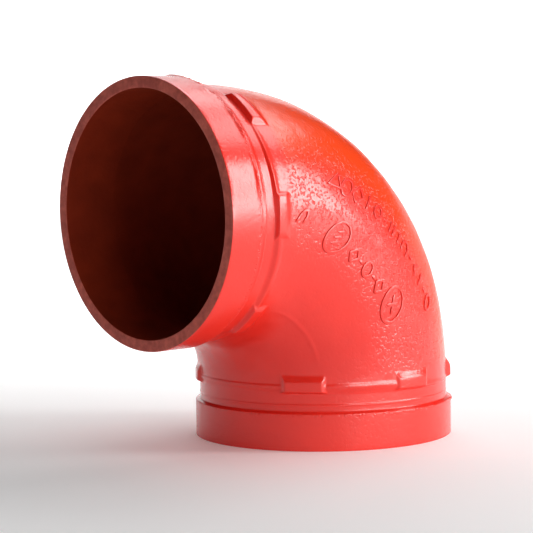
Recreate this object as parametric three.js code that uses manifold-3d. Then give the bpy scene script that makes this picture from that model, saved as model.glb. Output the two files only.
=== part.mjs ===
// Grooved-end 90 degree elbow for DN 100 (NPS 4) pipe: one ductile iron casting, painted.
// Millimetres, +Z up. The lower end faces -Z and stands on z = 0, the front end faces -Y.
// The one casting is held as its natural regions: a grooved end on each leg, the bend between
// them, and the stop lugs that stand behind each groove.
import * as THREE from 'three';
import { mergeVertices } from 'three/addons/utils/BufferGeometryUtils.js';
import Module from 'manifold-3d';

const wasm = await Module();
wasm.setup();

// ---- driving dimensions ----
const PIPE_RADIUS = 114.3 / 2;          // outside of the gasket seat
const CENTRE_TO_END = 102;              // crossing of the leg axes to each end face
const SEAT_LENGTH = 15.88;              // gasket seat, from the end face
const GROOVE_WIDTH = 8.74;              // seat edge to the middle of the groove's far flank
const GROOVE_FLOOR_RADIUS = 110.08 / 2;
const FLANK_LENGTH = 1.8;               // each flank of the groove slopes over this length
const FACE_BORE_RADIUS = 52.2;          // bore at the end face
const BEND_BORE_RADIUS = 49.5;          // bore from the back of the groove onwards
const FACE_CHAMFER = 0.7;
const STRAIGHT_LENGTH = 27.75;          // straight part of each leg, from the end face
const SIDE_RADIUS = 56;                 // body's outer radius on its two flanks,
const EXTRADOS_RADIUS = 54.2;           // along the outside of the bend
const INTRADOS_RADIUS = 55;             // and along the inside of the bend
const LUG_FLAT_LENGTH = 5;              // along the leg, at the top of a lug
const LUG_BACK_LENGTH = 1.3;            // slope behind that flat
const LUG_WIDTH = THREE.MathUtils.degToRad(21);   // round the leg, at the foot of a lug
const LUG_END_DRAFT = 2.2;              // each end leans in by this much at the top
const LUG_DEGREES = [0, 52, 128, 180, 232, 308];  // round the leg; 90 is the outside of the bend
const GAP = 0.3;                        // left between one region and the next

const AROUND = 64;                      // facets round a leg
const ALONG = 18;                       // facets along the bend

// ---- derived dimensions ----
const REGION_END = SEAT_LENGTH + GROOVE_WIDTH;          // where the bend takes over from an end
const LUG_START = REGION_END - FLANK_LENGTH / 2;        // foot of the groove's far flank
const LUG_END = LUG_START + FLANK_LENGTH + LUG_FLAT_LENGTH + LUG_BACK_LENGTH;
const BEND_RADIUS = CENTRE_TO_END - STRAIGHT_LENGTH;
const REACH = 2 * PIPE_RADIUS;                          // safely beyond any surface

const paint = new THREE.MeshStandardMaterial({ color: 0xdd2a1e, roughness: 0.3, metalness: 0 });

// ---- solids in and out of the boolean library ----
function solidOf(geometry) {
  const bare = geometry.clone();
  bare.deleteAttribute('normal');
  bare.deleteAttribute('uv');
  const merged = mergeVertices(bare, 1e-4);
  return new wasm.Manifold(new wasm.Mesh({
    numProp: 3,
    vertProperties: new Float32Array(merged.attributes.position.array),
    triVerts: new Uint32Array(merged.index.array),
  }));
}

function geometryOf(solid) {
  const { vertProperties, triVerts } = solid.getMesh();
  const geometry = new THREE.BufferGeometry();
  geometry.setAttribute('position', new THREE.BufferAttribute(vertProperties, 3));
  geometry.setIndex(new THREE.BufferAttribute(triVerts, 1));
  return geometry;
}

// ---- what turns about a leg axis: a closed outline of [radius, distance from the face] ----
function turned(outline) {
  const points = [...outline, outline[0]].map(([r, s]) => new THREE.Vector2(r, s));
  return new THREE.LatheGeometry(points, AROUND).rotateX(Math.PI / 2);
}

function groovedEnd() {
  return turned([
    [FACE_BORE_RADIUS, 0],
    [PIPE_RADIUS - FACE_CHAMFER, 0],
    [PIPE_RADIUS, FACE_CHAMFER],
    [PIPE_RADIUS, SEAT_LENGTH],
    [GROOVE_FLOOR_RADIUS, SEAT_LENGTH + FLANK_LENGTH],
    [GROOVE_FLOOR_RADIUS, REGION_END],
    [BEND_BORE_RADIUS, REGION_END],
  ]);
}

// ---- what follows the bend ----
// Centre line from the back of one grooved end to the back of the other: straight, quarter
// bend, straight.
class CentreLine extends THREE.Curve {
  start = REGION_END + GAP;
  straight = STRAIGHT_LENGTH - this.start;
  length = 2 * this.straight + BEND_RADIUS * Math.PI / 2;

  turnAt(travelled) {
    return THREE.MathUtils.clamp((travelled - this.straight) / BEND_RADIUS, 0, Math.PI / 2);
  }

  getPoint(t) {
    const travelled = t * this.length;
    const turn = this.turnAt(travelled);
    const before = Math.min(travelled, this.straight);
    const after = Math.max(travelled - this.length + this.straight, 0);
    return new THREE.Vector3(
      0,
      BEND_RADIUS * (Math.cos(turn) - 1) - after,
      this.start + before + BEND_RADIUS * Math.sin(turn),
    );
  }

  getTangent(t) {
    const turn = this.turnAt(t * this.length);
    return new THREE.Vector3(0, -Math.sin(turn), Math.cos(turn));
  }
}

// Outer radius of the body at an angle round the leg: fullest on the two flanks.
function bodyRadius(angle) {
  const outward = Math.sin(angle);
  return outward > 0
    ? SIDE_RADIUS - (SIDE_RADIUS - EXTRADOS_RADIUS) * outward ** 2
    : SIDE_RADIUS - (SIDE_RADIUS - INTRADOS_RADIUS) * outward ** 6;
}

// Outline in the section plane: its first axis points to the inside of the bend, its second to +X.
function sectionOutline(radiusAt) {
  return Array.from({ length: AROUND }, (_, i) => {
    const angle = 2 * Math.PI * i / AROUND;
    return new THREE.Vector2(-Math.sin(angle), Math.cos(angle)).multiplyScalar(radiusAt(angle));
  });
}

function swept(outer, inner) {
  const section = new THREE.Shape(sectionOutline(outer));
  if (inner) section.holes.push(new THREE.Path(sectionOutline(inner)));
  return new THREE.ExtrudeGeometry(section, { steps: ALONG, extrudePath: new CentreLine() });
}

function bend() {
  return swept(bodyRadius, () => BEND_BORE_RADIUS);
}

// ---- stop lugs ----
// A lug is a piece of a raised ring, cut to its width by a wedge with leaning ends and hollowed
// underneath to sit on the casting.
function lugs() {
  const ring = solidOf(turned([
    [BEND_BORE_RADIUS, LUG_START],
    [GROOVE_FLOOR_RADIUS, LUG_START],
    [PIPE_RADIUS, LUG_START + FLANK_LENGTH],
    [PIPE_RADIUS, LUG_END - LUG_BACK_LENGTH],
    [GROOVE_FLOOR_RADIUS, LUG_END],
    [BEND_BORE_RADIUS, LUG_END],
  ]));
  const floor = solidOf(new THREE.CylinderGeometry(
    GROOVE_FLOOR_RADIUS + GAP, GROOVE_FLOOR_RADIUS + GAP, 2 * REGION_END, AROUND,
  ).rotateX(Math.PI / 2).rotateZ(Math.PI / 2));
  const body = solidOf(swept(angle => bodyRadius(angle) + GAP));
  const raised = ring.subtract(floor).subtract(body);

  const footX = GROOVE_FLOOR_RADIUS * Math.cos(LUG_WIDTH / 2);
  const footY = GROOVE_FLOOR_RADIUS * Math.sin(LUG_WIDTH / 2);
  const lean = LUG_END_DRAFT / (PIPE_RADIUS - GROOVE_FLOOR_RADIUS);
  const halfWidth = x => footY - lean * (x - footX);
  const near = footX - FACE_CHAMFER;
  const far = PIPE_RADIUS + FACE_CHAMFER;
  const outline = new THREE.Shape([
    new THREE.Vector2(near, -halfWidth(near)),
    new THREE.Vector2(far, -halfWidth(far)),
    new THREE.Vector2(far, halfWidth(far)),
    new THREE.Vector2(near, halfWidth(near)),
  ]);
  const wedge = new THREE.ExtrudeGeometry(outline, { depth: REACH, bevelEnabled: false });
  return LUG_DEGREES.map(degrees => {
    const turnedWedge = wedge.clone().rotateZ(THREE.MathUtils.degToRad(degrees));
    return geometryOf(raised.intersect(solidOf(turnedWedge)));
  });
}

// ---- assembly ----
function named(name, geometry) {
  const mesh = new THREE.Mesh(geometry, paint);
  mesh.name = name;
  return mesh;
}

// A leg has its end face at its own z = 0, and its y axis points to the outside of the bend.
const endGeometry = groovedEnd();
const lugGeometries = lugs();

function leg(place) {
  const group = new THREE.Group();
  group.add(named(`${place}_grooved_end`, endGeometry));
  lugGeometries.forEach((geometry, i) => group.add(named(`${place}_stop_lug_${i + 1}`, geometry)));
  return group;
}

const lowerLeg = leg('lower');
const frontLeg = leg('front');
frontLeg.quaternion.setFromRotationMatrix(new THREE.Matrix4().makeBasis(
  new THREE.Vector3(-1, 0, 0), new THREE.Vector3(0, 0, 1), new THREE.Vector3(0, 1, 0),
));
frontLeg.position.set(0, -CENTRE_TO_END, CENTRE_TO_END);

const elbow = new THREE.Group();
elbow.add(lowerLeg, frontLeg, named('bend', bend()));
// The origin is midway between the front face and the back of the lower seat.
elbow.position.y = (CENTRE_TO_END - PIPE_RADIUS) / 2;

export default elbow;
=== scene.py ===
# A short-radius 90 degree elbow for DN 100 grooved pipe: one ductile iron casting, sand cast,
# shot blasted, primed and sprayed with glossy red enamel. The frame gives its size and place.
from math import cos, pi, radians, sin

import bpy
import numpy as np
from mathutils import Matrix, Vector


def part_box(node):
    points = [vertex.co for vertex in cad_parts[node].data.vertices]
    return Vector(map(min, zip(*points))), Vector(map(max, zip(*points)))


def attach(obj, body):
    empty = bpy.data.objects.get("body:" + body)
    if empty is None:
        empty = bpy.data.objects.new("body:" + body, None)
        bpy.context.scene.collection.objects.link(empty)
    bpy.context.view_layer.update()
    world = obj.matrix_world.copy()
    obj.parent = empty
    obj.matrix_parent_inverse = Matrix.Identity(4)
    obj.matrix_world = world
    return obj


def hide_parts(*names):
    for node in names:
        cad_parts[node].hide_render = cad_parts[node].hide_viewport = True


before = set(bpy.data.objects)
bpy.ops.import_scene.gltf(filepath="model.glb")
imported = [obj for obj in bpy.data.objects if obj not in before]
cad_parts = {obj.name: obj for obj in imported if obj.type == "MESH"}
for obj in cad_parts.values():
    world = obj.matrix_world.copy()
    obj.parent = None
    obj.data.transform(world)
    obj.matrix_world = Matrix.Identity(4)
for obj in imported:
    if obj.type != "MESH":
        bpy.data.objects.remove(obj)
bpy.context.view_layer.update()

# ---- the bend and its stop lugs ----
# The body of the elbow, cast in ductile iron in one with its two grooved ends: a hollow quarter
# bend with a short straight leg at each end, a little flattened along its back. Six stop lugs
# stand behind each groove, and keep the coupling's housing off the bend.
MM = 0.001
lower_low, lower_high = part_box("lower_grooved_end")
front_low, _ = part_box("front_grooved_end")
SEAT_RADIUS = (lower_high.x - lower_low.x) / 2
LEG_Y = (lower_high.y + lower_low.y) / 2
CENTRE_TO_END = LEG_Y - front_low.y
FLOOR_RADIUS = 55.04 * MM               # bottom of the coupling groove
SIDE_RADIUS = 56.0 * MM                 # body, on its two flanks
BORE_RADIUS = 49.5 * MM
SKIN_RADIUS = 53.0 * MM                 # what lies further out than this is outer skin
STRAIGHT = 27.75 * MM                   # straight part of each leg, from its end face
BEND_RADIUS = CENTRE_TO_END - STRAIGHT
RUN = 2 * STRAIGHT + BEND_RADIUS * pi / 2           # centre line, from end face to end face
GROOVE_END = 23.72 * MM                 # end of the groove's floor, from the end face
LUG_START = 24.4 * MM
LUG_FLANK = 0.8 * MM
LUG_FLAT = 4.6 * MM
LUG_BACK = 3.4 * MM
LUG_END = LUG_START + LUG_FLANK + LUG_FLAT + LUG_BACK
LUG_HEIGHT = SEAT_RADIUS - FLOOR_RADIUS
LUG_HALF_WIDTH = radians(21) / 2 * FLOOR_RADIUS
LUG_END_DRAFT = 2.2 * MM                # each end leans in by this much at the top
LUG_ANGLE = radians(52)                 # one lug on each flank, the others this far from it
SHOULDER = 27.0 * MM                    # from here on the body has its full radius on the inside
BACK_SHOULDER = 25.0 * MM               # and from here on its back, where the step is sharp
BACK_DROP = 2.6 * MM                    # how far the back is drawn in where the bend starts
BACK_DROP_LESS = 1.4 * MM               # and how much less in the middle of the bend
INSIDE_DROP = 1 * MM
LIP_HEIGHT = 0.35 * MM                  # low lip along each shoulder
LIP_WIDTH = 1.5 * MM
LUG_ROUNDING = 1.0 * MM
SEAM_ANGLE = radians(44.5)              # faint seam of the mould on each lower flank
SEAM_WIDTH = 1.1 * MM
SEAM_HEIGHT = 0.22 * MM
SEAM_RUN_OUT = 14 * MM
BURR_PLACE = 15.3 * MM                  # burr along the back edge of the gasket seat
BURR_WIDTH = 0.7 * MM
BURR_HEIGHT = 0.65 * MM
COLUMNS = 456                           # faces round the casting
BEND_ROWS = 140                         # faces along its outer skin, and along its bore
BEND_BORE_ROWS = 49
SHARP_ANGLE = radians(38)               # edges sharper than this are not smoothed over
ENAMEL, END_FACE, BORE = range(3)       # finishes


def add(tree, kind, inputs=(), **settings):
    """Adds a node. inputs gives its sockets, in order or by name, a value or what to link to them."""
    node = tree.nodes.new(kind)
    for name, value in settings.items():
        setattr(node, name, value)
    for socket, value in inputs.items() if isinstance(inputs, dict) else enumerate(inputs):
        if isinstance(value, bpy.types.Node):
            value = value.outputs[0]
        if isinstance(value, bpy.types.NodeSocket):
            tree.links.new(value, node.inputs[socket])
        else:
            node.inputs[socket].default_value = value
    return node


def new_tree(name, inputs, outputs):
    """A group of geometry nodes with named sockets, with the sockets to read and the ones to fill."""
    tree = bpy.data.node_groups.new(name, "GeometryNodeTree")
    for socket, kind in inputs.items():
        tree.interface.new_socket(socket, in_out="INPUT", socket_type="NodeSocket" + kind)
    for socket, kind in outputs.items():
        tree.interface.new_socket(socket, in_out="OUTPUT", socket_type="NodeSocket" + kind)
    return tree, tree.nodes.new("NodeGroupInput").outputs, tree.nodes.new("NodeGroupOutput").inputs


# Where a point of the casting is, from its angle round the leg (0 at +X, a quarter turn at the
# outside of the bend), its distance along the centre line and its radius.
pipe_run, given, result = new_tree(
    "pipe run",
    {"Angle": "Float", "Distance": "Float", "Radius": "Float"},
    {"Position": "Vector"},
)
turn = add(pipe_run, "ShaderNodeMapRange", {
    "Value": given["Distance"], "From Min": STRAIGHT, "From Max": RUN - STRAIGHT, "To Max": pi / 2})
before = add(pipe_run, "ShaderNodeMath", (given["Distance"], STRAIGHT), operation="MINIMUM")
left = add(pipe_run, "ShaderNodeMath", (RUN - STRAIGHT, given["Distance"]), operation="SUBTRACT")
after = add(pipe_run, "ShaderNodeMath", (left, 0), operation="MINIMUM")
spoke = add(pipe_run, "ShaderNodeCombineXYZ", {"X": given["Radius"]})
section = add(pipe_run, "ShaderNodeVectorRotate", {"Vector": spoke, "Angle": given["Angle"]},
              rotation_type="Z_AXIS")
off_centre = add(pipe_run, "ShaderNodeVectorMath", (section, (0, BEND_RADIUS, 0)), operation="ADD")
swung = add(pipe_run, "ShaderNodeVectorRotate", {"Vector": off_centre, "Angle": turn},
            rotation_type="X_AXIS")
along = add(pipe_run, "ShaderNodeCombineXYZ", {"Y": after, "Z": before})
placed = add(pipe_run, "ShaderNodeVectorMath", (swung, along), operation="ADD")
moved = add(pipe_run, "ShaderNodeVectorMath", (placed, (0, LEG_Y - BEND_RADIUS, 0)), operation="ADD")
pipe_run.links.new(moved.outputs[0], result["Position"])

# How far the body's skin stands above the groove's floor, behind the groove. It is drawn in
# along the back and a little on the inside, and a low lip runs along each shoulder.
body_swell, given, result = new_tree(
    "body swell", {"Angle": "Float", "Distance": "Float"}, {"Swell": "Float"})
from_face = add(body_swell, "ShaderNodeMath", (given["Distance"], RUN / 2), operation="PINGPONG")
outward = add(body_swell, "ShaderNodeMath", (given["Angle"],), operation="SINE")
shoulder_at = add(body_swell, "ShaderNodeMapRange", {
    "Value": outward, "From Min": -0.3, "From Max": 0.1, "To Min": SHOULDER,
    "To Max": BACK_SHOULDER}, interpolation_type="SMOOTHSTEP")
rise = add(body_swell, "ShaderNodeMapRange", {
    "Value": from_face, "From Min": GROOVE_END, "From Max": shoulder_at},
    interpolation_type="SMOOTHSTEP")
half_turns = add(body_swell, "ShaderNodeMapRange", {
    "Value": given["Distance"], "From Min": STRAIGHT, "From Max": RUN - STRAIGHT, "To Max": pi})
mid = add(body_swell, "ShaderNodeMath", (half_turns,), operation="SINE")
drawn_in = add(body_swell, "ShaderNodeMath", (mid, -BACK_DROP_LESS, BACK_DROP), operation="MULTIPLY_ADD")
back = add(body_swell, "ShaderNodeMath", (outward, 0), operation="MAXIMUM")
back_share = add(body_swell, "ShaderNodeMath", (back, 2), operation="POWER")
back_drop = add(body_swell, "ShaderNodeMath", (back_share, drawn_in), operation="MULTIPLY")
inward = add(body_swell, "ShaderNodeMath", (outward, -1), operation="MULTIPLY")
inside = add(body_swell, "ShaderNodeMath", (inward, 0), operation="MAXIMUM")
inside_share = add(body_swell, "ShaderNodeMath", (inside, 6), operation="POWER")
drop = add(body_swell, "ShaderNodeMath", (inside_share, INSIDE_DROP, back_drop),
           operation="MULTIPLY_ADD")
full = add(body_swell, "ShaderNodeMath", (SIDE_RADIUS - FLOOR_RADIUS, drop), operation="SUBTRACT")
step = add(body_swell, "ShaderNodeMath", (full, rise), operation="MULTIPLY")
past = add(body_swell, "ShaderNodeMath", (from_face, shoulder_at), operation="SUBTRACT")
past_share = add(body_swell, "ShaderNodeMath", (past, LIP_WIDTH), operation="DIVIDE")
past_square = add(body_swell, "ShaderNodeMath", (past_share, past_share), operation="MULTIPLY")
lip_falls = add(body_swell, "ShaderNodeMath", (past_square, -1), operation="MULTIPLY")
lip = add(body_swell, "ShaderNodeMath", (lip_falls,), operation="EXPONENT")
lip_rise = add(body_swell, "ShaderNodeMath", (lip, rise), operation="MULTIPLY")
swell = add(body_swell, "ShaderNodeMath", (lip_rise, LIP_HEIGHT, step), operation="MULTIPLY_ADD")
body_swell.links.new(swell.outputs[0], result["Swell"])

# The unevenness of sand cast iron: a slow wave of the mould, and the small dents and lumps that
# blasting and paint leave of its grain.
unevenness, given, result = new_tree(
    "unevenness", {"Position": "Vector", "Share": "Float"}, {"Height": "Float"})
heights = 0
for wave_width, wave_height in ((26 * MM, 0.5 * MM), (7 * MM, 0.26 * MM)):
    noise = add(unevenness, "ShaderNodeTexNoise", {
        "Vector": given["Position"], "Scale": 1 / wave_width, "Detail": 1})
    centred = add(unevenness, "ShaderNodeMath", (noise, 0.5), operation="SUBTRACT")
    heights = add(unevenness, "ShaderNodeMath", (centred, wave_height, heights),
                  operation="MULTIPLY_ADD")
shared = add(unevenness, "ShaderNodeMath", (heights, given["Share"]), operation="MULTIPLY")
unevenness.links.new(shared.outputs[0], result["Height"])

# The skin: a flat development of the casting, with x the angle, y the distance along the centre
# line and z the radius, gets the body's swell, the lugs and the cast surface, and is rolled up.
cast_skin, given, result = new_tree(
    "cast skin",
    {
        "Geometry": "Geometry", "Lug height": "Float", "Lug rounding": "Float",
        "Seam height": "Float", "Burr height": "Float",
        "Enamel": "Material", "End face": "Material", "Bore": "Material",
    },
    {"Geometry": "Geometry"},
)
flat = add(cast_skin, "ShaderNodeSeparateXYZ", (add(cast_skin, "GeometryNodeInputPosition"),))
angle, distance, radius = flat.outputs
rough = add(cast_skin, "GeometryNodeGroup", {
    "Angle": angle, "Distance": distance, "Radius": radius}, node_tree=pipe_run)
_, rough_y, rough_z = add(cast_skin, "ShaderNodeSeparateXYZ", (rough,)).outputs
from_front = add(cast_skin, "ShaderNodeMath", (rough_y, front_low.y), operation="SUBTRACT")
from_face = add(cast_skin, "ShaderNodeMath", (from_front, rough_z), operation="MINIMUM")
outward = add(cast_skin, "ShaderNodeMath", (angle,), operation="SINE")

# A lug is what four slopes leave of a ring: its two ends, its groove side and its back.
fold = add(cast_skin, "ShaderNodeMath", (angle, pi / 2), operation="PINGPONG")
from_outer_lug = add(cast_skin, "ShaderNodeMath", (fold, LUG_ANGLE), operation="SUBTRACT")
off = add(cast_skin, "ShaderNodeMath", (from_outer_lug,), operation="ABSOLUTE")
nearest = add(cast_skin, "ShaderNodeMath", (fold, off), operation="MINIMUM")
arc = add(cast_skin, "ShaderNodeMath", (nearest, FLOOR_RADIUS), operation="MULTIPLY")
lug = given["Lug height"]
for where, foot, top in (
    (arc, LUG_HALF_WIDTH, LUG_HALF_WIDTH - LUG_END_DRAFT),
    (from_face, LUG_START, LUG_START + LUG_FLANK),
    (from_face, LUG_END, LUG_END - LUG_BACK),
):
    slope = add(cast_skin, "ShaderNodeMapRange", {
        "Value": where, "From Min": foot, "From Max": top, "To Max": given["Lug height"]},
        clamp=False)
    lug = add(cast_skin, "ShaderNodeMath", (lug, slope, given["Lug rounding"]),
              operation="SMOOTH_MIN")
lug_radius = add(cast_skin, "ShaderNodeMath", (lug, FLOOR_RADIUS), operation="ADD")

# The mould's seam is a low bead on each lower flank.
from_seam = add(cast_skin, "ShaderNodeMath", (fold, SEAM_ANGLE), operation="SUBTRACT")
seam_arc = add(cast_skin, "ShaderNodeMath", (from_seam, SIDE_RADIUS / SEAM_WIDTH),
               operation="MULTIPLY")
seam_square = add(cast_skin, "ShaderNodeMath", (seam_arc, seam_arc), operation="MULTIPLY")
seam_falls = add(cast_skin, "ShaderNodeMath", (seam_square, -1), operation="MULTIPLY")
bead = add(cast_skin, "ShaderNodeMath", (seam_falls,), operation="EXPONENT")
under = add(cast_skin, "ShaderNodeMath", (outward, 0), operation="LESS_THAN")
run_out = add(cast_skin, "ShaderNodeMapRange", {
    "Value": from_face, "From Min": LUG_END, "From Max": LUG_END + SEAM_RUN_OUT},
    interpolation_type="SMOOTHSTEP")
seam_place = add(cast_skin, "ShaderNodeMath", (under, run_out), operation="MULTIPLY")
seam_share = add(cast_skin, "ShaderNodeMath", (seam_place, bead), operation="MULTIPLY")
seam = add(cast_skin, "ShaderNodeMath", (seam_share, given["Seam height"]), operation="MULTIPLY")

# The back edge of the gasket seat carries the last of a burr, ragged and mostly on the outside.
ragged = add(cast_skin, "ShaderNodeTexNoise", {
    "Vector": rough, "Scale": 1 / (9 * MM), "Detail": 2, "Roughness": 0.6})
ragged_share = add(cast_skin, "ShaderNodeMapRange", {
    "Value": ragged, "From Min": 0.42, "From Max": 0.68}, interpolation_type="SMOOTHSTEP")
outside = add(cast_skin, "ShaderNodeMapRange", {
    "Value": outward, "From Min": -0.5, "From Max": 0.3}, interpolation_type="SMOOTHSTEP")
edge_off = add(cast_skin, "ShaderNodeMath", (from_face, BURR_PLACE), operation="SUBTRACT")
edge_arc = add(cast_skin, "ShaderNodeMath", (edge_off, 1 / BURR_WIDTH), operation="MULTIPLY")
edge_square = add(cast_skin, "ShaderNodeMath", (edge_arc, edge_arc), operation="MULTIPLY")
edge_falls = add(cast_skin, "ShaderNodeMath", (edge_square, -1), operation="MULTIPLY")
edge = add(cast_skin, "ShaderNodeMath", (edge_falls,), operation="EXPONENT")
burr_share = add(cast_skin, "ShaderNodeMath", (ragged_share, outside), operation="MULTIPLY")
burr_place = add(cast_skin, "ShaderNodeMath", (burr_share, edge), operation="MULTIPLY")
burr = add(cast_skin, "ShaderNodeMath", (burr_place, given["Burr height"]), operation="MULTIPLY")

# All of it raises the outer skin only, and the cast surface is rougher behind the groove.
swell = add(cast_skin, "GeometryNodeGroup", {"Angle": angle, "Distance": distance},
            node_tree=body_swell)
body_radius = add(cast_skin, "ShaderNodeMath", (radius, swell), operation="ADD")
with_lugs = add(cast_skin, "ShaderNodeMath", (body_radius, lug_radius, given["Lug rounding"]),
                operation="SMOOTH_MAX")
with_seam = add(cast_skin, "ShaderNodeMath", (with_lugs, seam), operation="ADD")
with_burr = add(cast_skin, "ShaderNodeMath", (with_seam, burr), operation="ADD")
behind_groove = add(cast_skin, "ShaderNodeMapRange", {
    "Value": from_face, "From Min": GROOVE_END - 4 * MM, "From Max": LUG_END, "To Min": 0.25},
    interpolation_type="SMOOTHSTEP")
casting = add(cast_skin, "GeometryNodeGroup", {"Position": rough, "Share": behind_groove},
              node_tree=unevenness)
outer = add(cast_skin, "ShaderNodeMath", (with_burr, casting), operation="ADD")
is_skin = add(cast_skin, "ShaderNodeMath", (radius, SKIN_RADIUS), operation="GREATER_THAN")
raised = add(cast_skin, "ShaderNodeMath", (outer, radius), operation="SUBTRACT")
shown = add(cast_skin, "ShaderNodeMath", (raised, is_skin, radius), operation="MULTIPLY_ADD")
rolled = add(cast_skin, "GeometryNodeGroup", {
    "Angle": angle, "Distance": distance, "Radius": shown}, node_tree=pipe_run)

# Two attributes tell the paint where it is. The sand's grain shows on the flanks and along the
# edge with the burr, and least on the back. The back of the bend is marked for a more orange
# tint: painted light that stands in for the strong light on the back.
upper = add(cast_skin, "ShaderNodeMapRange", {
    "Value": outward, "From Min": -0.45, "From Max": 0.1}, interpolation_type="SMOOTHSTEP")
off_lugs = add(cast_skin, "ShaderNodeMapRange", {
    "Value": from_face, "From Min": LUG_END - 3 * MM, "From Max": LUG_END + 5 * MM},
    interpolation_type="SMOOTHSTEP")
not_back = add(cast_skin, "ShaderNodeMapRange", {
    "Value": outward, "From Min": 0.35, "From Max": 0.7, "To Min": 1.0, "To Max": 0.12},
    interpolation_type="SMOOTHSTEP")
upper_flank = add(cast_skin, "ShaderNodeMath", (upper, not_back), operation="MULTIPLY")
on_body = add(cast_skin, "ShaderNodeMath", (upper_flank, off_lugs), operation="MULTIPLY")
grain = add(cast_skin, "ShaderNodeMath", (on_body, edge), operation="MAXIMUM")
grained = add(cast_skin, "GeometryNodeStoreNamedAttribute", {
    "Geometry": given["Geometry"], "Name": "sand_grain", "Value": grain},
    data_type="FLOAT", domain="POINT")
# Painted light: the back of the bend, behind the lugs, gets a share of painted orange for its strongly
# lit look.
lit_orange_at = add(cast_skin, "ShaderNodeMapRange", {
    "Value": outward, "From Min": 0.2, "From Max": 0.65}, interpolation_type="SMOOTHSTEP")
lit_orange = add(cast_skin, "ShaderNodeMath", (lit_orange_at, off_lugs), operation="MULTIPLY")
with_lit_orange = add(cast_skin, "GeometryNodeStoreNamedAttribute", {
    "Geometry": grained, "Name": "painted_lit_orange", "Value": lit_orange}, data_type="FLOAT", domain="POINT")
shaped = add(cast_skin, "GeometryNodeSetPosition", {"Geometry": with_lit_orange, "Position": rolled})
smooth = add(cast_skin, "GeometryNodeSetShadeSmooth", {"Geometry": shaped})
finished = add(cast_skin, "GeometryNodeRealizeInstances", {"Geometry": smooth})
finish = add(cast_skin, "GeometryNodeInputNamedAttribute", {"Name": "finish"}, data_type="INT")
for number, name in ((ENAMEL, "Enamel"), (END_FACE, "End face"), (BORE, "Bore")):
    chosen = add(cast_skin, "FunctionNodeCompare", {"A": finish, "B": float(number)},
                 data_type="FLOAT", operation="EQUAL")
    finished = add(cast_skin, "GeometryNodeSetMaterial", {
        "Geometry": finished, "Selection": chosen, "Material": given[name]})
cast_skin.links.new(finished.outputs[0], result["Geometry"])


def linear(code):
    """The linear colour of an sRGB hex value."""
    parts = (int(code[i:i + 2], 16) / 255 for i in (0, 2, 4))
    return [c / 12.92 if c <= 0.04045 else ((c + 0.055) / 1.055) ** 2.4 for c in parts] + [1]


def new_material(name):
    """A material with its nodes, its shader and the place on the surface that its patterns read."""
    material = bpy.data.materials.new(name)
    material.use_nodes = True
    tree = material.node_tree
    shader = tree.nodes["Principled BSDF"]
    return material, tree, shader, add(tree, "ShaderNodeTexCoord").outputs["Object"]


# Glossy alkyd enamel sprayed over blasted sand-cast iron: a hard clear gloss that flows over the
# grain, so the light breaks into specks where the grain is and lies in sheets where it isn't. Along
# the back of the bend it is painted more orange, a painted highlight tint for the strongly lit back.
# The real grain, about 0.4 mm across, is drawn at 1.25 mm, so that it shows. The slow drift of
# the tint and the peel are at their real size.
enamel, tree, shader, spot = new_material("red_enamel_over_sand_cast_iron")
sand = add(tree, "ShaderNodeAttribute", attribute_name="sand_grain").outputs["Fac"]
drift = add(tree, "ShaderNodeTexNoise", {"Vector": spot, "Scale": 1 / (30 * MM), "Detail": 3})
drift_fac = add(tree, "ShaderNodeMapRange", {"Value": drift, "From Min": 0.3, "From Max": 0.7})
tint = add(tree, "ShaderNodeMix", {
    "Factor": drift_fac, 6: linear("e12a1f"), 7: linear("ea3023")}, data_type="RGBA")
# Painted light: the base colour turns more orange along the back of the bend, a painted highlight tint.
lit_orange_share = add(tree, "ShaderNodeAttribute", attribute_name="painted_lit_orange").outputs["Fac"]
lit_orange_tint = add(tree, "ShaderNodeMix", {
    "Factor": lit_orange_share, 6: tint.outputs[2], 7: linear("ea4214")}, data_type="RGBA")
tree.links.new(lit_orange_tint.outputs[2], shader.inputs["Base Color"])
peel = add(tree, "ShaderNodeTexNoise", {"Vector": spot, "Scale": 1 / (2.4 * MM), "Detail": 2})
specks = add(tree, "ShaderNodeTexNoise", {"Vector": spot, "Scale": 1 / (1.25 * MM), "Detail": 1})
pits = add(tree, "ShaderNodeMapRange", {"Value": specks, "From Min": 0.3, "From Max": 0.47})
sand_strength = add(tree, "ShaderNodeMapRange", {"Value": sand, "To Min": 0.12, "To Max": 1.0})
peel_bump = add(tree, "ShaderNodeBump", {"Strength": 0.25, "Distance": 0.1 * MM, "Height": peel})
speck_bump = add(tree, "ShaderNodeBump", {
    "Strength": sand_strength, "Distance": 0.24 * MM, "Height": pits, "Normal": peel_bump})
tree.links.new(speck_bump.outputs[0], shader.inputs["Normal"])
shader.inputs["Roughness"].default_value = 0.23
shader.inputs["IOR"].default_value = 1.6

# Red-brown primer brushed on the dressed end faces: dry and flat to the eye, with pale rubbed
# patches a few millimetres across.
end_primer, tree, shader, spot = new_material("rubbed_primer_on_end_face")
rub = add(tree, "ShaderNodeTexNoise", {"Vector": spot, "Scale": 1 / (3 * MM), "Detail": 4})
rub_share = add(tree, "ShaderNodeMapRange", {"Value": rub, "From Min": 0.35, "From Max": 0.7})
rubbed = add(tree, "ShaderNodeMix", {
    "Factor": rub_share, 6: linear("b04638"), 7: linear("d66250")}, data_type="RGBA")
tree.links.new(rubbed.outputs[2], shader.inputs["Base Color"])
rub_bump = add(tree, "ShaderNodeBump", {"Strength": 0.5, "Distance": 0.15 * MM, "Height": rub})
tree.links.new(rub_bump.outputs[0], shader.inputs["Normal"])
shader.inputs["Roughness"].default_value = 0.6

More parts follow.
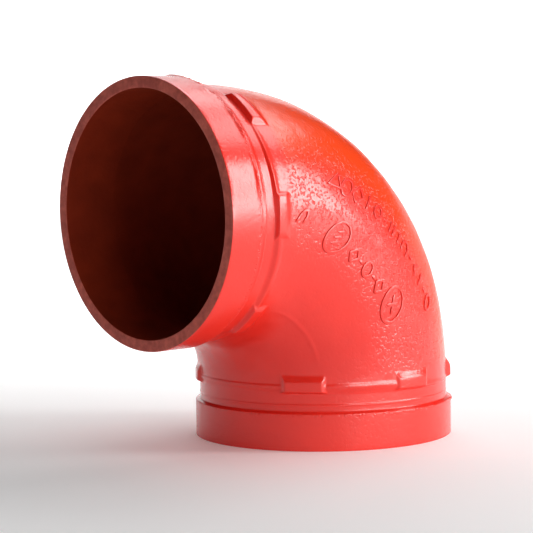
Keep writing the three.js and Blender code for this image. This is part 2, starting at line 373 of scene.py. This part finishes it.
# The bore has one thin coat of the same primer over the rough cast wall: matt and dark, with
# slow stains and hardly any shine.
bore_primer, tree, shader, spot = new_material("matt_primer_in_bore")
stain = add(tree, "ShaderNodeTexNoise", {"Vector": spot, "Scale": 1 / (12 * MM), "Detail": 5})
stain_share = add(tree, "ShaderNodeMapRange", {"Value": stain, "From Min": 0.3, "From Max": 0.7})
stained = add(tree, "ShaderNodeMix", {
    "Factor": stain_share, 6: linear("7c230f"), 7: linear("8a2912")}, data_type="RGBA")
tree.links.new(stained.outputs[2], shader.inputs["Base Color"])
wall = add(tree, "ShaderNodeTexNoise", {"Vector": spot, "Scale": 1 / (2.5 * MM), "Detail": 3})
wall_bump = add(tree, "ShaderNodeBump", {"Strength": 0.6, "Distance": 0.3 * MM, "Height": wall})
tree.links.new(wall_bump.outputs[0], shader.inputs["Normal"])
shader.inputs["Roughness"].default_value = 0.7
shader.inputs["Specular IOR Level"].default_value = 0.08


def spread(start, stop, count, dense):
    """count steps from start to stop, closer together within each (centre, half width, weight)."""
    samples = 20001
    place = np.linspace(start, stop, samples)
    density = np.ones_like(place)
    for centre, half_width, weight in dense:
        density += weight * np.exp(-((place - centre) / half_width) ** 4)
    share = np.concatenate(([0], np.cumsum((density[1:] + density[:-1]) / 2)))
    return np.interp(np.linspace(0, share[-1], count + 1), share, place)


LUG_SIDE = (LUG_HALF_WIDTH - LUG_END_DRAFT / 2) / FLOOR_RADIUS
lug_angles = [side + way * off for side in (0, pi) for way in (-1, 1) for off in (0, LUG_ANGLE)]
lug_sides = [lug + way * LUG_SIDE for lug in lug_angles for way in (-1, 1)]
seams = [-SEAM_ANGLE, pi + SEAM_ANGLE]
columns = spread(0, 2 * pi, COLUMNS, [(side % (2 * pi), radians(2), 2.4) for side in set(lug_sides)]
                 + [(seam % (2 * pi), radians(1.6), 1.4) for seam in seams])[:-1]


def development(name, outline):
    """A closed flat development from an outline of (distance, radius, finish), one row of points each."""
    distances, radii, finishes = zip(*outline)
    rows, count = len(outline), len(columns)
    points = np.empty((rows, count, 3))
    points[:, :, 0] = columns
    points[:, :, 1] = np.array(distances)[:, None]
    points[:, :, 2] = np.array(radii)[:, None]
    number = np.arange(rows * count).reshape(rows, count)
    right, up = np.roll(number, -1, 1), np.roll(number, -1, 0)
    corners = np.stack((number, right, np.roll(up, -1, 1), up), -1).reshape(-1, 4)
    mesh = bpy.data.meshes.new(name)
    mesh.from_pydata(points.reshape(-1, 3), [], corners)
    kinds = mesh.attributes.new("finish", "INT", "FACE")
    kinds.data.foreach_set("value", np.repeat(np.array(finishes, np.int32), count))
    return mesh


def made(name, data, tree, values):
    """A plain mesh object from what a tree makes of the data, its inputs set by name."""
    source = bpy.data.objects.new(name + "_source", data)
    bpy.context.scene.collection.objects.link(source)
    modifier = source.modifiers.new(tree.name, "NODES")
    modifier.node_group = tree
    for item in tree.interface.items_tree:
        if item.in_out == "INPUT" and item.name in values:
            modifier[item.identifier] = values[item.name]
    bpy.context.view_layer.update()
    evaluated = source.evaluated_get(bpy.context.evaluated_depsgraph_get())
    mesh = bpy.data.meshes.new_from_object(evaluated)
    source.modifiers.remove(modifier)
    bpy.data.objects.remove(source)
    mesh.set_sharp_from_angle(angle=SHARP_ANGLE)
    piece = bpy.data.objects.new(name, mesh)
    mesh.name = name
    bpy.context.scene.collection.objects.link(piece)
    return piece


skin_values = {
    "Lug height": LUG_HEIGHT, "Lug rounding": LUG_ROUNDING, "Seam height": SEAM_HEIGHT,
    "Burr height": BURR_HEIGHT, "Enamel": enamel, "End face": end_primer, "Bore": bore_primer,
}
edges = [(LUG_START + 0.5 * MM, 1.3 * MM, 4.5), (LUG_END - 1.8 * MM, 2.2 * MM, 2)]
outer_rows = spread(GROOVE_END, RUN - GROOVE_END, BEND_ROWS,
                    edges + [(RUN - centre, half, weight) for centre, half, weight in edges])
inner_rows = np.linspace(RUN - GROOVE_END, GROOVE_END, BEND_BORE_ROWS + 1)
bend_outline = [(at, FLOOR_RADIUS, ENAMEL) for at in outer_rows]
bend_outline += [(at, BORE_RADIUS, BORE) for at in inner_rows]
bend = made("bend_with_stop_lugs", development("bend_with_stop_lugs", bend_outline), cast_skin,
            skin_values)
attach(bend, "root")
lug_nodes = [f"{leg}_stop_lug_{number}" for leg in ("lower", "front") for number in range(1, 7)]
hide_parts("bend", *lug_nodes)

# ---- the grooved ends ----
# Each leg ends in a flat end face, a gasket seat of the pipe's own diameter and the coupling
# groove behind it. They are part of the casting, dressed to size, and the bore widens to the face.
SEAT_LENGTH = 15.88 * MM
GROOVE_FLANK = 0.7 * MM
TOOL_RIDGE = 19.4 * MM                  # faint ridge left in the groove's floor
RIDGE_HEIGHT = 0.18 * MM
FACE_BORE_RADIUS = 52.2 * MM


def rounded(corners):
    """Rows of points from corners of (distance, radius, rounding, step, finish of what follows)."""
    rows = []
    places = [Vector(corner[:2]) for corner in corners]
    for i, (_, _, rounding, step, finish) in enumerate(corners):
        here, before, after = places[i], places[i - 1], places[(i + 1) % len(corners)]
        start = here + (before - here).normalized() * rounding
        end = here + (after - here).normalized() * rounding
        pieces = 5 if rounding else 1
        for k in range(pieces):
            share = k / pieces
            bent = start.lerp(here, share).lerp(here.lerp(end, share), share)
            rows.append((*bent, finish if k >= pieces // 2 else corners[i - 1][4]))
        rest = after + (here - after).normalized() * corners[(i + 1) % len(corners)][2]
        count = max(1, round((rest - end).length / step))
        rows += [(*end.lerp(rest, k / count), finish) for k in range(count)][0 if rounding else 1:]
    return rows


ring_outline = rounded([
    (0, FACE_BORE_RADIUS, 0.5 * MM, 1.2 * MM, END_FACE),
    (0, SEAT_RADIUS, 0.4 * MM, 1.6 * MM, ENAMEL),
    (12 * MM, SEAT_RADIUS, 0, 0.5 * MM, ENAMEL),
    (SEAT_LENGTH, SEAT_RADIUS, 0.35 * MM, 0.4 * MM, ENAMEL),
    (SEAT_LENGTH + GROOVE_FLANK, FLOOR_RADIUS, 0.4 * MM, 0.6 * MM, ENAMEL),
    (TOOL_RIDGE - 0.7 * MM, FLOOR_RADIUS, 0.3 * MM, 0.3 * MM, ENAMEL),
    (TOOL_RIDGE, FLOOR_RADIUS + RIDGE_HEIGHT, 0.3 * MM, 0.3 * MM, ENAMEL),
    (TOOL_RIDGE + 0.5 * MM, FLOOR_RADIUS, 0.2 * MM, 0.9 * MM, ENAMEL),
    (22.5 * MM, FLOOR_RADIUS, 0, 0.3 * MM, ENAMEL),
    (GROOVE_END, FLOOR_RADIUS, 0, 2 * MM, ENAMEL),
    (GROOVE_END, BORE_RADIUS, 0, 3 * MM, BORE),
])
for leg in ("lower", "front"):
    outline = ring_outline
    if leg == "front":
        mirrored = [(RUN - distance, radius) for distance, radius, _ in ring_outline]
        kinds = [finish for _, _, finish in ring_outline]
        outline = [(*mirrored[i], kinds[i - 1]) for i in reversed(range(len(mirrored)))]
    ring = made(leg + "_end_ring", development(leg + "_end_ring", outline), cast_skin, skin_values)
    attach(ring, "root")
    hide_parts(leg + "_grooved_end")

# ---- the raised marks ----
# Marks cut into the foundry pattern, so that they stand half a millimetre up from both flanks and
# are painted over with the rest: plain shapes in a long row near the back, and below it two large
# rings with a short row between them. The far flank has one plain row.
MARK_HEIGHT = 0.5 * MM                  # how far a stroke stands above the skin
MARK_FLARE = 0.3 * MM                   # how much wider a stroke is at its top than at its foot
MARK_ROUNDING = 0.18 * MM
STROKE_STEP = 0.45 * MM
STROKE_TAPER = 1.1 * MM                 # over this length an open stroke runs out at each end
LONG_ROW_ANGLE = 19.3                   # degrees from the middle of the flank towards the back
SHORT_ROW_ANGLE = -5.5
BIG_RING_ANGLE = -3.5
FAR_ROW_ANGLE = 12

raised_marks, given, result = new_tree(
    "raised marks",
    {
        "Geometry": "Geometry", "Foot width": "Float", "Buried": "Float", "Far flank": "Float",
        "Enamel": "Material",
    },
    {"Geometry": "Geometry"},
)
# Sweeping turns the profile over: its bottom is the top of a stroke, and its top the buried foot.
tall = add(raised_marks, "ShaderNodeMath", (given["Buried"], MARK_HEIGHT), operation="ADD")
top_width = add(raised_marks, "ShaderNodeMath", (given["Foot width"], MARK_FLARE),
                operation="ADD")
profile = add(raised_marks, "GeometryNodeCurvePrimitiveQuadrilateral", {
    "Height": tall, "Bottom Width": top_width, "Top Width": given["Foot width"], "Offset": 0.0},
    mode="TRAPEZOID")
soft = add(raised_marks, "GeometryNodeFilletCurve", {
    "Curve": profile, "Count": 3, "Radius": MARK_ROUNDING, "Limit Radius": True}, mode="POLY")
depth = add(raised_marks, "ShaderNodeMath", (tall, 0.5, -MARK_HEIGHT), operation="MULTIPLY_ADD")
shift = add(raised_marks, "ShaderNodeCombineXYZ", {"Y": depth})
sunk = add(raised_marks, "GeometryNodeSetPosition", {"Geometry": soft, "Offset": shift})
strokes = add(raised_marks, "GeometryNodeResampleCurve", {
    "Curve": given["Geometry"], "Length": STROKE_STEP}, mode="LENGTH")
level = add(raised_marks, "GeometryNodeSetCurveNormal", {"Curve": strokes}, mode="Z_UP")
on_stroke = add(raised_marks, "GeometryNodeSplineParameter").outputs["Length"]
stroke_length = add(raised_marks, "GeometryNodeSplineLength").outputs["Length"]
mid_length = add(raised_marks, "ShaderNodeMath", (stroke_length, 0.5), operation="MULTIPLY")
to_end = add(raised_marks, "ShaderNodeMath", (on_stroke, mid_length), operation="PINGPONG")
tapered = add(raised_marks, "ShaderNodeMapRange", {
    "Value": to_end, "From Max": STROKE_TAPER, "To Min": 0.55}, interpolation_type="SMOOTHERSTEP")
closed = add(raised_marks, "GeometryNodeInputSplineCyclic")
taper = add(raised_marks, "ShaderNodeMath", (tapered, closed), operation="MAXIMUM")
swept = add(raised_marks, "GeometryNodeCurveToMesh", {
    "Curve": level, "Profile Curve": sunk, "Scale": taper, "Fill Caps": True})
flat = add(raised_marks, "ShaderNodeSeparateXYZ", (add(raised_marks, "GeometryNodeInputPosition"),))
along, up, height = flat.outputs
near_angle = add(raised_marks, "ShaderNodeMath", (up, SIDE_RADIUS), operation="DIVIDE")
reach = add(raised_marks, "ShaderNodeMath", (near_angle,), operation="SINE")
arm = add(raised_marks, "ShaderNodeMath", (reach, SIDE_RADIUS / BEND_RADIUS, 1),
          operation="MULTIPLY_ADD")
on_centre_line = add(raised_marks, "ShaderNodeMath", (along, arm), operation="DIVIDE")
way = add(raised_marks, "ShaderNodeMath", (given["Far flank"], 2, -1), operation="MULTIPLY_ADD")
distance = add(raised_marks, "ShaderNodeMath", (on_centre_line, way, RUN / 2),
               operation="MULTIPLY_ADD")
back_angle = add(raised_marks, "ShaderNodeMath", (near_angle, way), operation="MULTIPLY")
half_turn = add(raised_marks, "ShaderNodeMath", (given["Far flank"], pi), operation="MULTIPLY")
angle = add(raised_marks, "ShaderNodeMath", (half_turn, back_angle), operation="SUBTRACT")
floor_place = add(raised_marks, "GeometryNodeGroup", {
    "Angle": angle, "Distance": distance, "Radius": FLOOR_RADIUS}, node_tree=pipe_run)
swell = add(raised_marks, "GeometryNodeGroup", {"Angle": angle, "Distance": distance},
            node_tree=body_swell)
casting = add(raised_marks, "GeometryNodeGroup", {"Position": floor_place, "Share": 1.0},
              node_tree=unevenness)
skin = add(raised_marks, "ShaderNodeMath", (swell, casting), operation="ADD")
skin_radius = add(raised_marks, "ShaderNodeMath", (skin, FLOOR_RADIUS), operation="ADD")
mark_radius = add(raised_marks, "ShaderNodeMath", (skin_radius, height), operation="ADD")
rolled = add(raised_marks, "GeometryNodeGroup", {
    "Angle": angle, "Distance": distance, "Radius": mark_radius}, node_tree=pipe_run)
shaped = add(raised_marks, "GeometryNodeSetPosition", {"Geometry": swept, "Position": rolled})
smooth = add(raised_marks, "GeometryNodeSetShadeSmooth", {"Geometry": shaped})
finished = add(raised_marks, "GeometryNodeRealizeInstances", {"Geometry": smooth})
painted = add(raised_marks, "GeometryNodeSetMaterial", {
    "Geometry": finished, "Material": given["Enamel"]})
raised_marks.links.new(painted.outputs[0], result["Geometry"])


def loop(width, height, sides=28, turned=0):
    """A closed round or many-sided stroke."""
    turns = [turned + 2 * pi * k / sides for k in range(sides)]
    return [(width / 2 * cos(a), height / 2 * sin(a)) for a in turns], True


# Each shape is drawn one unit high: a list of strokes, each with its points and whether it closes.
SHAPES = {
    "bar": [([(0, -0.5), (0, 0.5)], False)],
    "bars": [([(x, -0.5), (x, 0.5)], False) for x in (-0.2, 0.2)],
    "dash": [([(-0.22, 0), (0.22, 0)], False)],
    "ring": [loop(0.74, 1)],
    "triangle": [loop(1, 1, 3, pi / 2)],
    "diamond": [loop(0.8, 1, 4)],
    "chevron": [([(0.25, 0.5), (-0.25, 0), (0.25, -0.5)], False)],
    "cross": [([(-0.3, -0.35), (0.3, 0.35)], False), ([(-0.3, 0.35), (0.3, -0.35)], False)],
    "arch": [([(-0.35, -0.5), (-0.35, 0.15), (-0.2, 0.42), (0, 0.5), (0.2, 0.42), (0.35, 0.15),
               (0.35, -0.5)], False)],
    "steps": [([(-0.25, y - 0.08), (0.25, y + 0.08)], False) for y in (-0.35, 0, 0.35)],
}


def marks_in_row(shapes, distance, pitch, angle, size):
    """Strokes of a row of shapes that starts at a distance along the centre line."""
    arm = 1 + SIDE_RADIUS / BEND_RADIUS * sin(radians(angle))
    up = SIDE_RADIUS * radians(angle)
    strokes = []
    for k, shape in enumerate(shapes):
        along = (RUN / 2 - distance + pitch * k) * arm
        for points, closed in SHAPES[shape]:
            strokes.append(([(along + x * size, up + y * size) for x, y in points], closed))
    return strokes


def drawn(name, strokes):
    """A curve of poly splines."""
    curve = bpy.data.curves.new(name, "CURVE")
    curve.dimensions = "3D"
    for points, closed in strokes:
        spline = curve.splines.new("POLY")
        spline.points.add(len(points) - 1)
        spline.points.foreach_set("co", [c for x, y in points for c in (x, y, 0, 1)])
        spline.use_cyclic_u = closed
    return curve


fine_marks = marks_in_row(["triangle", "ring", "diamond", "bar"], 117.5 * MM, 5.6 * MM,
                          LONG_ROW_ANGLE, 8.6 * MM)
fine_marks += marks_in_row(
    ["ring", "dash", "bars", "bar", "arch", "dash", "chevron", "bar", "dash", "ring"],
    95 * MM, 4.5 * MM, LONG_ROW_ANGLE, 6.2 * MM)
bold_marks = marks_in_row(["arch"], 133 * MM, 0, 0, 5.6 * MM)
bold_marks += marks_in_row(["diamond", "dash", "ring", "dash", "diamond"], 98 * MM, 5.4 * MM,
                           SHORT_ROW_ANGLE, 6.8 * MM)
for distance, inner in ((111 * MM, "steps"), (64.5 * MM, "cross")):
    bold_marks += marks_in_row([inner], distance, 0, BIG_RING_ANGLE, 8 * MM)
    arm = 1 + SIDE_RADIUS / BEND_RADIUS * sin(radians(BIG_RING_ANGLE))
    centre = (RUN / 2 - distance) * arm, SIDE_RADIUS * radians(BIG_RING_ANGLE)
    points, closed = loop(12 * MM, 14.6 * MM, 40)
    bold_marks.append(([(x + centre[0], y + centre[1]) for x, y in points], closed))
far_marks = marks_in_row(["bars", "ring", "bar", "diamond", "dash", "bar"], 98 * MM, 4.9 * MM,
                         FAR_ROW_ANGLE, 7 * MM)
for name, strokes, foot_width, buried, far in (
    ("near_flank_long_row", fine_marks, 0.85 * MM, 1.2 * MM, 0.0),
    ("near_flank_rings_and_short_row", bold_marks, 1.1 * MM, 1.3 * MM, 0.0),
    ("far_flank_row", far_marks, 0.6 * MM, 0.7 * MM, 1.0),
):
    marks = made(name, drawn(name, strokes), raised_marks, {
        "Foot width": foot_width, "Buried": buried, "Far flank": far, "Enamel": enamel})
    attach(marks, "root")

# ---- the studio ----
# A matt white light table that glows towards its back, a lit white wall behind it and a low pale
# one round the rest. Of the seven soft boxes, the tall key and a low strip stand on the right,
# three stand behind, one hangs overhead, and a card by the camera fills. The left stays dark.
CAMERA_PLACE = Vector((676.15, -619.425, 147.25)) * MM
CAMERA_TARGET = Vector((7.4, -17.375, 76.9)) * MM
CAMERA_LENS = 141.3
CAMERA_ROLL = radians(-0.75)
MIDDLE = Vector((0, 0, CENTRE_TO_END * 0.7))         # what the soft boxes face
LAMP_DISTANCE = 1.2
TABLE_RADIUS = 6
TABLE_BACK = 228                        # the way in which the table glows brighter
WALL_RADIUS = 2.6


def heading(azimuth, elevation):
    """The direction in degrees: azimuth 0 is -Y and 90 is +X."""
    level = cos(radians(elevation))
    return Vector((sin(radians(azimuth)) * level, -cos(radians(azimuth)) * level,
                   sin(radians(elevation))))


def soft_box(name, azimuth, elevation, width, height, power):
    lamp = bpy.data.lights.new(name, "AREA")
    lamp.shape = "RECTANGLE"
    lamp.size = width
    lamp.size_y = height
    lamp.energy = power
    box = bpy.data.objects.new(name, lamp)
    box.location = MIDDLE + heading(azimuth, elevation) * LAMP_DISTANCE
    box.rotation_euler = heading(azimuth, elevation).to_track_quat("Z", "Y").to_euler()
    bpy.context.scene.collection.objects.link(box)


soft_box("tall_key", 134, 19, 0.32, 0.6, 6.8)
soft_box("low_strip_on_the_right", 109, 4, 0.8, 0.25, 6.8)
soft_box("card_beside_the_camera", 79, 5, 0.4, 0.3, 2.8)
soft_box("wide_overhead", 120, 82, 1.2, 1.2, 2.6)
soft_box("high_strip_at_the_back", 165, 49, 0.7, 0.28, 2.4)
soft_box("top_at_the_back", 206, 54, 0.4, 0.4, 1.9)
soft_box("rim_from_behind", 235, 45, 0.5, 0.5, 1.6)

matt_white, tree, shader, spot = new_material("matt_white_light_table")
shader.inputs["Base Color"].default_value = linear("f8f8f8")
shader.inputs["Roughness"].default_value = 0.9
shader.inputs["Emission Color"].default_value = (1, 1, 1, 1)
behind = add(tree, "ShaderNodeVectorMath", (spot, heading(TABLE_BACK, 0)), operation="DOT_PRODUCT")
beside = add(tree, "ShaderNodeVectorMath", (spot, heading(TABLE_BACK - 90, 0)), operation="DOT_PRODUCT")
off_axis = add(tree, "ShaderNodeMath", (beside.outputs["Value"],), operation="ABSOLUTE")
far_share = add(tree, "ShaderNodeMapRange", {
    "Value": off_axis, "From Min": 0.4, "From Max": 0.9, "To Min": 0.9, "To Max": 0.35},
    interpolation_type="SMOOTHSTEP")
glow = add(tree, "ShaderNodeMapRange", {
    "Value": behind.outputs["Value"], "From Min": -0.12, "From Max": 0.6, "To Min": 0.1,
    "To Max": far_share}, interpolation_type="SMOOTHSTEP")
tree.links.new(glow.outputs[0], shader.inputs["Emission Strength"])
floor_mesh = bpy.data.meshes.new("floor")
floor_mesh.from_pydata([heading(a, 0) * TABLE_RADIUS for a in range(0, 360, 5)], [], [range(72)])
floor_mesh.materials.append(matt_white)
floor = bpy.data.objects.new("floor", floor_mesh)
bpy.context.scene.collection.objects.link(floor)

for name, first, last, height, strength in (
        ("lit_wall_behind", 216, 240, 1.5, 1), ("pale_wall_around", 240, 576, 0.5, 0.25)):
    lit_white, tree, shader, _ = new_material(name)
    shader.inputs["Emission Color"].default_value = (1, 1, 1, 1)
    shader.inputs["Emission Strength"].default_value = strength
    feet = [heading(a, 0) * WALL_RADIUS for a in range(first, last + 1, 4)]
    heads = [foot + Vector((0, 0, height)) for foot in feet]
    wall_mesh = bpy.data.meshes.new(name)
    wall_mesh.from_pydata(feet + heads, [], [
        (i, i + 1, i + 1 + len(feet), i + len(feet)) for i in range(len(feet) - 1)])
    wall_mesh.materials.append(lit_white)
    wall = bpy.data.objects.new(name, wall_mesh)
    bpy.context.scene.collection.objects.link(wall)

world = bpy.data.worlds.new("dim_studio")
world.use_nodes = True
world.node_tree.nodes["Background"].inputs["Color"].default_value = linear("ffffff")
world.node_tree.nodes["Background"].inputs["Strength"].default_value = 0.02
bpy.context.scene.world = world
bpy.context.scene.view_settings.view_transform = "Standard"

lens = bpy.data.cameras.new("camera")
lens.lens = CAMERA_LENS
camera = bpy.data.objects.new("camera", lens)
look = (CAMERA_TARGET - CAMERA_PLACE).to_track_quat("-Z", "Y").to_matrix().to_4x4()
camera.matrix_world = Matrix.Translation(CAMERA_PLACE) @ look @ Matrix.Rotation(CAMERA_ROLL, 4, "Z")
bpy.context.scene.collection.objects.link(camera)
bpy.context.scene.camera = camera
